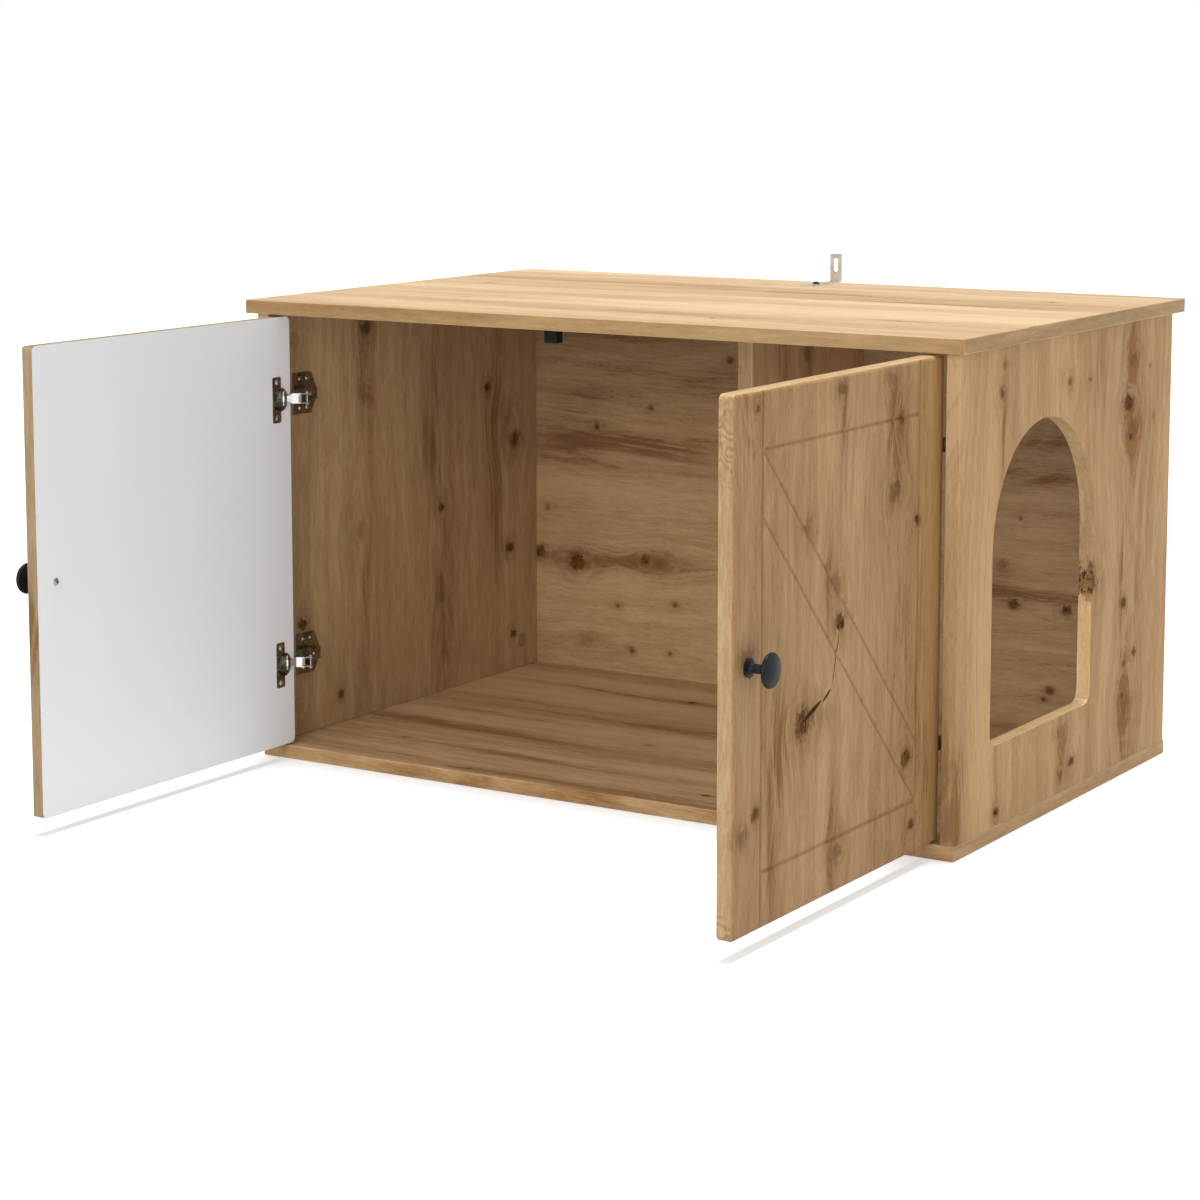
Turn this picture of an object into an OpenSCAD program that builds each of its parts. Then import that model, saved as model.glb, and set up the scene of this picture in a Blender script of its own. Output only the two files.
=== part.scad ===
// Cat house: a flat-pack litter cabinet with two inset doors and an arched entrance in its side.
// The front faces -Y and the origin is the centre of the bottom board's underside.

/* [Carcass] */
// Width of the bottom board, which is the width of the body
body_w = 845; // [700:5:1100]
// Depth of the bottom board
body_d = 540; // [460:5:700]
// Height from the ground to the top face
total_h = 508; // [440:1:700]
// Thickness of the boards and side panels
board_t = 15; // [14:0.5:20]
// How far the top board stands past each side
top_side_over = 8.5; // [0:0.5:30]
// How far the top board stands past the bottom board at the front and the rear
top_end_over = 10; // [0:0.5:30]
// How far the side panels stop short of the bottom board's rear edge
side_setback = 4; // [0:0.5:12]
// Width of the eased edges of the boards
edge_ease = 0.7; // [0.3:0.1:1.5]

/* [Back and divider] */
// Thickness of the back panel
back_t = 3; // [2.5:0.5:6]
// Distance from the back panel's rear face to the side panels' rear edge
back_inset = 5; // [4:0.5:12]
// Depth of the grooves that hold the back panel
back_groove = 5; // [3:0.5:8]
// Play between the back panel and its grooves, on each side
back_play = 0.15; // [0.05:0.05:0.4]
// Thickness of the divider
divider_t = 18; // [15:0.5:22]
// Depth of the divider, forward from the back panel
divider_d = 264; // [150:2:320]
// Offset of the divider's middle from the middle of the cabinet
divider_x = 39.5; // [-60:0.5:80]

/* [Cat entrance] */
// Width of the arched entrance
arch_w = 248; // [150:2:300]
// Height of the entrance from its sill to the top of the arch
arch_h = 315; // [200:1:340]
// Height of the sill over the bottom board
arch_sill = 82; // [40:1:95]
// Distance from the front edge to the middle of the entrance
arch_from_front = 202; // [180:1:280]
// Radius of the entrance's lower corners
arch_corner_r = 14; // [4:1:40]

/* [Doors] */
// Thickness of the doors
door_t = 15; // [14:0.5:20]
// Gap between a door and the side panel when shut
door_side_gap = 2.5; // [2:0.1:4]
// Gap above and below the doors
door_end_gap = 2.5; // [1.5:0.1:5]
// Gap between the two doors when shut
door_mid_gap = 3; // [2:0.1:6]
// Radius rolled over the outer edges of a door
door_roll = 4; // [2:0.5:6]
// Radius of a door's corners, seen from the front
door_corner = 6; // [3:0.5:15]
// Opening angle in which the doors are drawn
door_open = 90; // [0:1:95]

/* [Door pattern] */
// Distance from the door's edges to the border grooves
border_w = 51; // [40:1:80]
// Width of the grooves
groove_w = 6; // [3:0.5:8]
// Depth of the grooves
groove_deep = 1.6; // [0.8:0.1:2.5]
// Width of the diagonal brace between its two grooves
brace_w = 40; // [25:1:70]

/* [Knobs] */
// Distance from the door's free edge to the knob
knob_from_edge = 26; // [20:1:34]
// Radius of the knob's head
knob_r = 15.7; // [12:0.1:20]
// How far the knob stands out from the door
knob_out = 26.5; // [22:0.5:34]
// Radius of the knob's foot
knob_foot_r = 8.3; // [6:0.1:10]
// Radius of the knob's neck
knob_neck_r = 4.2; // [3.5:0.1:5.5]

/* [Hinges] */
// Distance from a door's ends to the middle of its hinges
hinge_from_end = 90; // [60:1:120]
// Radius of the hinge cup
cup_r = 13; // [12.5:0.1:13.5]
// Depth of the hinge cup in the door
cup_deep = 11; // [10:0.1:11.5]
// Wall of the hinge cup
cup_wall = 0.8; // [0.6:0.1:1]
// Distance from the door's hinge edge to the middle of the cup
cup_from_edge = 18; // [17.5:0.1:18.5]
// Height of the cup's flange
flange_h = 50; // [46:1:54]
// Width of the cup's flange
flange_w = 14; // [12:0.5:16]
// Thickness of the cup's flange
flange_t = 0.8; // [0.6:0.1:1]
// Distance between the two screws of a flange
flange_screws = 39; // [36:1:42]
// Distance from the door's hinge edge to the axis it swings on
swing_in = 6.5; // [6:0.1:7]
// Distance from the door's outer face to the axis it swings on
swing_deep = 3; // [2.5:0.1:3.5]
// Distance from the cup's middle to its pin, towards the hinge edge
cup_pin_off = 9.4; // [9.2:0.1:9.6]
// Distance of the cup's pin below the door's inner face
cup_pin_deep = 2.5; // [2.4:0.1:2.8]
// Height of the link where it meets the arm
link_h = 11; // [10:0.5:12]
// Thickness of the hinge's sheet metal
sheet_t = 1.2; // [1:0.1:1.4]
// Distance from the front edge to the wall plate
plate_front = 40; // [38:0.5:46]
// Length of the wall plate in its middle
plate_len = 40; // [36:0.5:44]
// Length of the wall plate's wings
wing_len = 32; // [29:0.5:35]
// Height of the wall plate
plate_h = 46; // [46:1:56]
// Distance between the screws of a wall plate
plate_screws = 32; // [32:1:34]
// Height of the arm's straight part over the side panel
arm_top = 11.5; // [11:0.1:13]
// Length of the arm's straight part over the wall plate
arm_len = 30; // [28:0.5:34]

/* [Fittings] */
// Distance from a panel's end to the middle of its cam locks
cam_reach = 34; // [30:1:36]
// Distance from a panel's front and rear edges to the cam locks
cam_from_edge = 44.5; // [35:0.5:60]
// Distance between a cam lock and the dowel beside it
cam_to_dowel = 32; // [24:1:48]
// Radius of the covers over the cam locks
cam_cover_r = 9.5; // [8.5:0.1:11]
// Width of the door stop under the top board
stop_w = 15.5; // [12:0.5:24]
// Depth of the door stop
stop_d = 12; // [10:0.5:18]
// Height of the door stop
stop_h = 15.5; // [10:0.5:20]
// Offset of the door stop's middle from the middle of the cabinet
stop_x = -50.5; // [-120:0.5:-20]
// Width of the wall bracket
bracket_w = 15; // [12:0.5:22]
// Thickness of the wall bracket
bracket_t = 1.6; // [1.2:0.1:2.5]
// Length of the wall bracket on the top board
bracket_leg = 75; // [60:1:90]
// Height of the wall bracket over the top board
bracket_up = 33.5; // [28:0.5:50]
// Width of the slot for the wall screw
bracket_slot_w = 5.5; // [4:0.1:6]
// Length of the slot for the wall screw
bracket_slot_l = 16; // [10:0.5:18]

/* [Hidden] */
$fn = 48;

oak = [0.76, 0.61, 0.42];
oak_shade = [0.62, 0.47, 0.31];
beech = [0.87, 0.74, 0.56];
white_face = [0.93, 0.93, 0.92];
nickel = [0.58, 0.56, 0.53];
bright_steel = [0.85, 0.85, 0.86];
black_plastic = [0.10, 0.11, 0.11];
zinc = [0.70, 0.71, 0.73];

e = 0.01;
fit = 0.05;
cut = 1;

// Carcass
front_y = -body_d / 2;
inner_w = body_w - 2 * board_t;
side_h = total_h - 2 * board_t;
side_d = body_d - side_setback;
ceiling_z = total_h - board_t;
back_face_y = front_y + side_d - back_inset - back_t;
divider_front_y = back_face_y - divider_d;
divider_gap = 0.3;

// Doors
door_w = (inner_w - 2 * door_side_gap - door_mid_gap) / 2;
door_h = side_h - 2 * door_end_gap;
door_z = board_t + door_end_gap;
hinge_z = [door_z + door_h - hinge_from_end, door_z + hinge_from_end];
brace_span = [door_w - 2 * border_w, door_h - 2 * border_w];
brace_angle = acos(brace_w / norm(brace_span)) - atan(brace_span.x / brace_span.y);

// Hinge geometry in plan: x from the side panel's inner face, y from the front edges
swing_axis = [door_side_gap + swing_in, swing_deep];
cup_pin = [door_side_gap + cup_from_edge - cup_pin_off, door_t - cup_pin_deep];
arm_pin_r = 0.9;
cup_pin_r = 1.1;
link_roll_r = 1.9;
link_slot_side = 1;
link_wall = 0.6;
link_ear_r = arm_pin_r + link_slot_side + link_wall;
link_sheet = 1.4;
link_neck_h = 6.8;
// How the link bows clear of the cup's rim, along and across its line
link_bow = [3.4, -2.8];
arm_ear_r = 2.5;
arm_strip = 2.2;
arm_nose_gap = 2;
arm_bend_y = plate_front + 3;
arm_wall_deep = 4.5;
arm_gap = link_h + 0.8;
arm_w = arm_gap + 2 * sheet_t;
arm_end_y = plate_front + arm_len;
pin_run = cup_pin - swing_axis;
// The arm's pin lies where the link is equally long with the door shut and open by a right angle
bisector = pin_run + turned(pin_run, -90);
arm_pin_y = door_t + flange_t + arm_ear_r + arm_nose_gap;
arm_pin = swing_axis + bisector * (arm_pin_y - swing_axis.y) / bisector.y;
cup_pin_now = swing_axis + turned(pin_run, -door_open);
link_now = arm_pin - cup_pin_now;
link_long = norm(arm_pin - swing_axis - turned(pin_run, -95));
link_short = norm(arm_pin - swing_axis) - norm(pin_run);

// Screws: head radius, head height, shank radius, length under the head
wood_screw = [3.6, 2, 1.7, 11];
plate_screw = [3.6, 1.8, 1.9, 12];
arm_screw = [3, 1.6, 1.8, 4.5];
knob_screw = [4.2, 2.4, 2, 24];
stop_sink = 1.8;
stop_screw_size = [3.2, 1.6, 1.6, stop_h - stop_sink + 12];
bracket_screw_size = [4.2, 2.8, 2, 12];

// Fittings
cam_r = 7.5;
cam_long = 12.4;
bolt_thread_r = 3;
bolt_thread = 10;
bolt_r = 2.4;
bolt_head_r = 3.2;
bolt_head_h = 3;
bolt_bore_r = 3.8;
dowel_r = 4;
dowel_long = 30;
dowel_in_board = 10;
cover_t = 0.8;
side_joints = [cam_from_edge, side_d - cam_from_edge];
divider_joints = [cam_from_edge, divider_d - cam_from_edge];

function turned(p, a) = [p.x * cos(a) - p.y * sin(a), p.x * sin(a) + p.y * cos(a)];
function unit(v) = v / norm(v);
function left_of(v) = [-v.y, v.x];

// The offset of a bent strip's side at its middle point b, for a half thickness of 1
function mitre(a, b, c) =
    let (m = left_of(unit(unit(b - a) + unit(c - b)))) m / (m * left_of(unit(c - b)));

// One side of a strip that follows a path
function strip_side(path, half) = [
    for (i = [0 : len(path) - 1]) path[i] + half * (
        i == 0 ? left_of(unit(path[1] - path[0]))
        : i == len(path) - 1 ? left_of(unit(path[i] - path[i - 1]))
        : mitre(path[i - 1], path[i], path[i + 1])
    )
];

// General shapes

module on_side(side) {
    if (side == "right") mirror([1, 0, 0]) children();
    else children();
}

// A strip of sheet that follows a path
module strip(path, thickness) {
    left = strip_side(path, thickness / 2);
    right = strip_side(path, -thickness / 2);
    polygon(concat(left, [for (i = [len(path) - 1 : -1 : 0]) right[i]]));
}

// A rectangle with eased corners
module eased_rect(size, ease) {
    polygon([
        [ease, 0], [size.x - ease, 0], [size.x, ease], [size.x, size.y - ease],
        [size.x - ease, size.y], [ease, size.y], [0, size.y - ease], [0, ease]
    ]);
}

// A board with all its edges eased, its lowest corner at the origin
module board(size, ease = edge_ease) {
    intersection() {
        linear_extrude(size.z) eased_rect([size.x, size.y], ease);
        translate([0, size.y, 0]) rotate([90, 0, 0])
            linear_extrude(size.y) eased_rect([size.x, size.z], ease);
        rotate([90, 0, 90]) linear_extrude(size.x) eased_rect([size.y, size.z], ease);
    }
}

// A rectangle with round corners, its lowest corner at the origin
module round_rect(size, r) {
    translate([r, 0]) square([size.x - 2 * r, size.y]);
    translate([0, r]) square([size.x, size.y - 2 * r]);
    for (x = [r, size.x - r], y = [r, size.y - r]) translate([x, y]) circle(r);
}

// A rectangle whose two corners along y = 0 are round
module rolled_rect(size, r) {
    translate([r, 0]) square([size.x - 2 * r, size.y]);
    translate([0, r]) square([size.x, size.y - r]);
    for (x = [r, size.x - r]) translate([x, r]) circle(r);
}

// A long hole with round ends along x, its middle at the origin
module long_hole(length, r) {
    square([length - 2 * r, 2 * r], center = true);
    for (s = [-1, 1]) translate([s * (length / 2 - r), 0]) circle(r);
}

// A screw that points down, with the underside of its domed head at z = 0
module screw(size) {
    head_r = size[0];
    head_h = size[1];
    dome_r = (head_r * head_r + head_h * head_h) / (2 * head_h);
    difference() {
        intersection() {
            translate([0, 0, head_h - dome_r]) sphere(dome_r);
            cylinder(r = head_r, h = head_h);
        }
        for (a = [0, 90]) rotate(a)
            translate([-head_r * 0.5, -head_r * 0.1, head_h * 0.45])
                cube([head_r, head_r * 0.2, head_h]);
    }
    translate([0, 0, -size[3]]) cylinder(r = size[2], h = size[3] + e);
}

// The hole that a screw's shank runs in, from z = 0 down
module screw_bore(size) {
    translate([0, 0, -size[3] - 0.5]) cylinder(r = size[2] + fit, h = size[3] + 0.5 + cut);
}

// Cam joints

// Places its children at each joint of an upright panel that runs back from y0, with z up
// into the panel and x towards the face that holds the cam
module at_joints(x, y0, places, face) {
    for (y = places) {
        translate([x, y0 + y, board_t]) rotate(face) children();
        translate([x, y0 + y, ceiling_z]) mirror([0, 0, 1]) rotate(face) children();
    }
}

// Places its children at every cam joint of the cabinet, and at the dowels if step isn't 0
module at_all_joints(step = 0) {
    inward = [1, -1] * step;
    side_x = inner_w / 2 + board_t / 2;
    at_joints(-side_x, front_y, side_joints + inward, 0) children();
    at_joints(side_x, front_y, side_joints + inward, 180) children();
    at_joints(divider_x, divider_front_y, divider_joints + inward, 180) children();
}

// What a panel loses to one cam joint, from its end at z = 0
module panel_joint_bore(thickness) {
    translate([0, 0, -cut]) cylinder(r = bolt_bore_r, h = cam_reach + cut);
    translate([thickness / 2 - cam_long - 0.2, 0, cam_reach])
        rotate([0, 90, 0]) cylinder(r = cam_r + fit, h = cam_long + 0.2 + cut);
}

module panel_dowel_bore() {
    translate([0, 0, -cut]) cylinder(r = dowel_r + fit, h = dowel_long - dowel_in_board + 0.5 + cut);
}

// The bores in the top and bottom boards for the bolts and the dowels
module board_bores() {
    at_all_joints() translate([0, 0, -bolt_thread - 0.3])
        cylinder(r = bolt_thread_r + fit / 2, h = bolt_thread + 0.3 + cut);
    at_all_joints(cam_to_dowel) translate([0, 0, -dowel_in_board - 0.3])
        cylinder(r = dowel_r + fit, h = dowel_in_board + 0.3 + cut);
}

// A cam whose claws hold the bolt under its head
module cam_lock(thickness) {
    claws = [-3.2, -bolt_head_h / 2];
    translate([thickness / 2 - cam_long, 0, cam_reach]) difference() {
        rotate([0, 90, 0]) cylinder(r = cam_r, h = cam_long);
        translate([cam_long - thickness / 2, 0, 0]) {
            translate([0, 0, -cam_r - cut]) cylinder(r = bolt_bore_r, h = cam_r + cut + claws[0]);
            translate([0, 0, claws[0] - cut]) cylinder(r = bolt_r + fit, h = bolt_head_h + cut);
            translate([0, 0, claws[1]]) cylinder(r = bolt_head_r + fit, h = bolt_head_h + 0.1);
        }
        translate([cam_long - 1.5, -cam_r * 0.6, -0.6]) cube([cut + 1.5, cam_r * 1.2, 1.2]);
    }
}

module cam_bolt() {
    translate([0, 0, -bolt_thread]) cylinder(r = bolt_thread_r, h = bolt_thread);
    cylinder(r = bolt_bore_r - fit, h = 1.5);
    cylinder(r = bolt_r, h = cam_reach);
    translate([0, 0, cam_reach - bolt_head_h / 2]) cylinder(r = bolt_head_r, h = bolt_head_h);
}

module cam_cover(thickness) {
    translate([thickness / 2, 0, cam_reach]) rotate([0, 90, 0]) difference() {
        cylinder(r = cam_cover_r, h = cover_t);
        translate([0, 0, cover_t]) rotate_extrude()
            translate([cam_cover_r + 0.1, 0.1]) rotate(45) square(0.7, center = true);
    }
}

module wooden_dowel() {
    translate([0, 0, -dowel_in_board]) cylinder(r = dowel_r, h = dowel_long);
}

// Hinges

// Moves its children to a hinge on one side: x from the side panel, y from the front edges
module hinge_place(side, level) {
    on_side(side) translate([-inner_w / 2, front_y, hinge_z[level]]) children();
}

// Turns the door's pieces, drawn shut, about the swing axis to the opening angle
module swung() {
    translate([swing_axis.x, swing_axis.y, 0]) rotate(-door_open)
        translate([-swing_axis.x, -swing_axis.y, 0]) children();
}

// Moves its children to the middle of the cup, with z out of the door's inner face
module cup_place() {
    swung() translate([door_side_gap + cup_from_edge, door_t, 0]) rotate([-90, 0, 0]) children();
}

// The offset of the flange from the cup's middle, away from the hinge edge
flange_off = 6;

module flange_screw_place() {
    for (s = [-1, 1]) translate([flange_off - 1, s * flange_screws / 2, flange_t]) children();
}

module hinge_cup() {
    color(nickel) difference() {
        union() {
            translate([0, 0, -cup_deep]) cylinder(r = cup_r, h = cup_deep + flange_t);
            translate([flange_off - flange_w / 2, -flange_h / 2, 0])
                linear_extrude(flange_t) round_rect([flange_w, flange_h], 2);
        }
        translate([0, 0, cup_wall - cup_deep]) cylinder(r = cup_r - cup_wall, h = cup_deep + cut);
        translate([-cup_pin_off, 0, -cup_pin_deep]) rotate([90, 0, 0])
            cylinder(r = cup_pin_r + e, h = 2 * cup_r, center = true);
        flange_screw_place() translate([0, 0, -flange_t - cut])
            cylinder(r = wood_screw[2] + 0.3, h = flange_t + 2 * cut);
    }
}

// Half the length of the cup's pin, which ends just inside the cup's outer wall
cup_pin_half = sqrt(pow(cup_r, 2) - pow(cup_pin_off + cup_pin_r, 2)) - fit;

module cup_pin_solid() {
    color(bright_steel) translate([cup_pin.x, cup_pin.y, -cup_pin_half])
        cylinder(r = cup_pin_r, h = 2 * cup_pin_half);
}

// The link turns on the cup's pin; its forked end slides on the arm's pin
module hinge_link() {
    roll_h = link_neck_h;
    web_end = link_short - arm_pin_r - link_slot_side - 0.9;
    ear_start = web_end - 5;
    color(bright_steel)
    translate([cup_pin_now.x, cup_pin_now.y, 0]) rotate(atan2(link_now.y, link_now.x))
        difference() {
            union() {
                cylinder(r = link_roll_r, h = roll_h, center = true);
                intersection() {
                    translate([0, 0, -link_h / 2]) linear_extrude(link_h)
                        strip([[0, 0], link_bow, [10, 0], [web_end, 0]], link_sheet);
                    rotate([90, 0, 0]) linear_extrude(20, center = true) polygon([
                        [-1, -roll_h / 2], [6, -roll_h / 2], [9.5, -link_h / 2],
                        [web_end, -link_h / 2], [web_end, link_h / 2], [9.5, link_h / 2],
                        [6, roll_h / 2], [-1, roll_h / 2]
                    ]);
                }
                for (z = [-link_h / 2, link_h / 2 - 1]) translate([0, 0, z]) linear_extrude(1) {
                    translate([ear_start, -link_ear_r])
                        square([link_long + 0.3 - ear_start, 2 * link_ear_r]);
                    translate([link_long + 0.3, 0]) circle(link_ear_r);
                }
            }
            cylinder(r = cup_pin_r + fit, h = roll_h + cut, center = true);
            translate([(link_long + link_short) / 2, 0, -link_h]) linear_extrude(2 * link_h)
                long_hole(
                    link_long - link_short + 0.6 + 2 * (arm_pin_r + link_slot_side),
                    arm_pin_r + link_slot_side
                );
        }
}

// Side view of the arm, from its end over the wall plate to the pin that carries the link
arm_run = arm_pin - [arm_top - arm_wall_deep / 2, arm_bend_y];
arm_dir = arm_run / norm(arm_run);
arm_out = [-arm_dir.y, arm_dir.x];

// The point where a line along the arm's crank, offset from its middle, meets x = level
function crank_at(level, off) =
    let (start = arm_pin + arm_out * off, run = (start.x - level) / arm_dir.x)
    [level, start.y - arm_dir.y * run];

module arm_outline(over, under, top, end, low) {
    tip = arm_pin + arm_dir * 0.5;
    polygon([
        [low, end], [top, end], crank_at(top, over), tip + arm_out * over,
        tip - arm_out * under, crank_at(low, -under)
    ]);
}

module hinge_arm() {
    wall_low = arm_top - arm_wall_deep;
    color(nickel) difference() {
        union() {
            translate([0, 0, -arm_w / 2]) linear_extrude(arm_w)
                arm_outline(arm_strip, arm_strip, arm_top, arm_end_y, wall_low);
            translate([arm_pin.x, arm_pin.y, -arm_w / 2]) cylinder(r = arm_ear_r, h = arm_w);
        }
        translate([0, 0, -arm_gap / 2]) linear_extrude(arm_gap) {
            arm_outline(
                arm_strip - sheet_t, arm_strip + cut, arm_top - sheet_t, arm_end_y + cut,
                wall_low - cut
            );
            translate(arm_pin) circle(link_ear_r + 5.5);
            translate([0, plate_front - 10]) square([wall_low + e, 60]);
        }
        translate([arm_pin.x, arm_pin.y, -arm_w]) cylinder(r = arm_pin_r + e, h = 2 * arm_w);
        arm_screw_place() screw_bore(arm_screw);
    }
}

module arm_pin_solid() {
    color(bright_steel) translate([arm_pin.x, arm_pin.y, -arm_w / 2 - 0.4])
        cylinder(r = arm_pin_r, h = arm_w + 0.8);
}

module arm_screw_place() {
    for (y = [8.5, 19]) translate([arm_top, plate_front + y, 0]) rotate([0, 90, 0]) children();
}

// The screws that hold the wall plate to the side panel, two in each wing
module plate_screw_place() {
    for (s = [-1, 1], y = [wing_len - 19, wing_len - 6.5])
        translate([sheet_t, plate_front + y, s * plate_screws / 2]) rotate([0, 90, 0]) children();
}

// Outline of the wall plate, whose wings are shorter than its middle
module wall_plate_outline() {
    wing = [wing_len, plate_h / 2];
    middle = [plate_len, arm_w / 2 + 1];
    polygon([
        [0, -wing.y], [wing.x, -wing.y], [middle.x, -middle.y],
        middle, wing, [0, wing.y]
    ]);
}

// A plate with two wings and a raised block that carries the arm
module wall_plate() {
    block_start = crank_at(arm_top, arm_strip).y + 0.3;
    color(nickel) difference() {
        union() {
            translate([0, plate_front, 0]) rotate([90, 0, 90])
                linear_extrude(sheet_t) wall_plate_outline();
            translate([0, block_start, 0.4 - arm_gap / 2])
                cube([arm_top - sheet_t, arm_end_y - 2 - block_start, arm_gap - 0.8]);
        }
        plate_screw_place() screw_bore(plate_screw);
        arm_screw_place() screw_bore(arm_screw);
    }
}

// Panels

module top_board() {
    color(oak) difference() {
        translate([-body_w / 2 - top_side_over, front_y - top_end_over, ceiling_z])
            board([body_w + 2 * top_side_over, body_d + 2 * top_end_over, board_t]);
        board_bores();
        back_groove_cut();
        stop_place() translate([0, 0, -stop_sink]) screw_bore(stop_screw_size);
        bracket_screw_place() screw_bore(bracket_screw_size);
    }
}

module bottom_board() {
    color(oak) difference() {
        translate([-body_w / 2, front_y, 0]) board([body_w, body_d, board_t]);
        board_bores();
        back_groove_cut();
    }
}

// The back panel's space with its play, which cuts the grooves in the boards around it
module back_groove_cut() {
    translate([-inner_w / 2 - back_groove, back_face_y - back_play, board_t - back_groove])
        cube([inner_w + 2 * back_groove, back_t + 2 * back_play, side_h + 2 * back_groove]);
}

module back_panel() {
    color(oak_shade) translate([
        back_play - inner_w / 2 - back_groove, back_face_y, board_t - back_groove + back_play
    ])
        cube([
            inner_w + 2 * (back_groove - back_play), back_t,
            side_h + 2 * (back_groove - back_play)
        ]);
}

module side_panel(side) {
    on_side(side) difference() {
        translate([-body_w / 2, front_y, board_t]) board([board_t, side_d, side_h]);
        at_joints(-(inner_w + board_t) / 2, front_y, side_joints, 0) panel_joint_bore(board_t);
        at_joints(
            -(inner_w + board_t) / 2, front_y, side_joints + [1, -1] * cam_to_dowel, 0
        ) panel_dowel_bore();
        back_groove_cut();
        for (level = [0, 1])
            translate([-inner_w / 2, front_y, hinge_z[level]])
                plate_screw_place() screw_bore(plate_screw);
    }
}

// The outline of the entrance, with x to the rear and the sill on y = 0
module arch_outline() {
    r = arch_w / 2;
    translate([0, arch_h - r]) circle(r);
    translate([-r, 0]) difference() {
        square([arch_w, arch_h - r]);
        for (x = [0, arch_w]) translate([x, 0]) square(2 * arch_corner_r, center = true);
    }
    for (s = [-1, 1]) translate([s * (r - arch_corner_r), arch_corner_r]) circle(arch_corner_r);
}

module left_side_panel() {
    color(oak) side_panel("left");
}

module right_side_panel() {
    color(oak) difference() {
        side_panel("right");
        translate([inner_w / 2 - cut, front_y + arch_from_front, board_t + arch_sill])
            rotate([90, 0, 90]) linear_extrude(board_t + 2 * cut, $fn = 96) arch_outline();
    }
}

module divider_panel() {
    length = divider_d - divider_gap;
    color(oak) difference() {
        translate([divider_x - divider_t / 2, divider_front_y, board_t])
            board([divider_t, length, side_h]);
        at_joints(divider_x, divider_front_y, divider_joints, 180) panel_joint_bore(divider_t);
        at_joints(divider_x, divider_front_y, divider_joints + [1, -1] * cam_to_dowel, 180)
            panel_dowel_bore();
    }
}

// Doors, drawn shut with the outer face on y = 0 and the hinge edge on x = 0

// A cutter for one groove along x
module groove_cutter(length) {
    rotate([90, 0, 90]) linear_extrude(length)
        polygon([
            [-cut, groove_w / 2 + cut * groove_w / 2 / groove_deep], [groove_deep, 0],
            [-cut, -groove_w / 2 - cut * groove_w / 2 / groove_deep]
        ]);
}

module door_grooves() {
    inner = [border_w, -cut, border_w];
    for (x = [border_w, door_w - border_w])
        translate([x, 0, -cut]) rotate([0, -90, 0]) groove_cutter(door_h + 2 * cut);
    for (z = [border_w, door_h - border_w])
        translate([border_w, 0, z]) groove_cutter(brace_span.x);
    intersection() {
        translate(inner) cube([brace_span.x, groove_deep + 2 * cut, brace_span.y]);
        union() {
            for (corner = [[0, 0], brace_span])
                translate([border_w + corner.x, 0, border_w + corner.y])
                    rotate([0, -brace_angle, 0]) translate([-2 * door_h, 0, 0])
                        groove_cutter(4 * door_h);
        }
    }
}

module door_blank() {
    intersection() {
        translate([0, door_t, 0]) rotate([90, 0, 0])
            linear_extrude(door_t) round_rect([door_w, door_h], door_corner);
        linear_extrude(door_h) rolled_rect([door_w, door_t], door_roll);
        rotate([90, 0, 90]) linear_extrude(door_w) mirror([1, -1]) rolled_rect([door_h, door_t], door_roll);
    }
}

module door() {
    color(oak) swung() translate([door_side_gap, 0, 0]) difference() {
        door_blank();
        door_grooves();
        for (z = hinge_z) translate([cup_from_edge, door_t, z - door_z]) rotate([-90, 0, 0]) {
            translate([0, 0, -cup_deep - 0.3]) cylinder(r = cup_r + fit, h = cup_deep + 0.3 + cut);
            flange_screw_place() screw_bore(wood_screw);
        }
        translate([door_w - knob_from_edge, -cut, door_h / 2]) rotate([-90, 0, 0])
            cylinder(r = knob_screw[2] + 0.3, h = door_t + 2 * cut);
    }
}

module door_place(side) {
    on_side(side) translate([-inner_w / 2, front_y, door_z]) children();
}

// Moves its children to the knob's middle on the outer face, with z out of the door
module knob_place() {
    swung() translate([door_side_gap + door_w - knob_from_edge, 0, door_h / 2])
        rotate([90, 0, 0]) children();
}

// Half profile of the knob: foot, waisted neck and a flat domed head with a round rim
module knob_profile() {
    foot_h = 2.2;
    waist_r = knob_out * 0.17;
    rim_r = knob_out * 0.083;
    crown = knob_out * 0.09;
    // The domes of the head's front and back meet the rim's round here
    edge_x = knob_r - rim_r * 0.41;
    edge_half = sqrt(pow(rim_r, 2) - pow(edge_x - knob_r + rim_r, 2));
    middle = knob_out - crown - edge_half;
    dome_r = (edge_x * edge_x + crown * crown) / (2 * crown);
    square([knob_foot_r, foot_h]);
    square([knob_neck_r, middle]);
    difference() {
        translate([0, foot_h]) square([knob_neck_r + waist_r, waist_r]);
        translate([knob_neck_r + waist_r, foot_h + waist_r]) circle(waist_r);
    }
    translate([knob_r - rim_r, middle]) circle(rim_r);
    intersection() {
        translate([0, knob_out - dome_r]) circle(dome_r);
        translate([0, middle - edge_half - crown + dome_r]) circle(dome_r);
        translate([0, middle - edge_half - crown]) square([edge_x, knob_out]);
    }
}

module knob() {
    color(black_plastic) difference() {
        rotate_extrude() intersection() {
            knob_profile();
            square([knob_r, knob_out]);
        }
        translate([0, 0, -cut]) cylinder(r = knob_screw[2] + fit, h = cut + knob_screw[3] - door_t + 1);
    }
}

module knob_screw_solid() {
    color(zinc) translate([0, 0, -door_t]) rotate([180, 0, 0]) screw(knob_screw);
}

// Fittings

// The middle of the door stop's top, under the top board, just behind the shut doors
module stop_place() {
    translate([stop_x, front_y + door_t + 0.4 + stop_d / 2, ceiling_z]) rotate([180, 0, 0])
        translate([0, 0, stop_h]) children();
}

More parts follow.
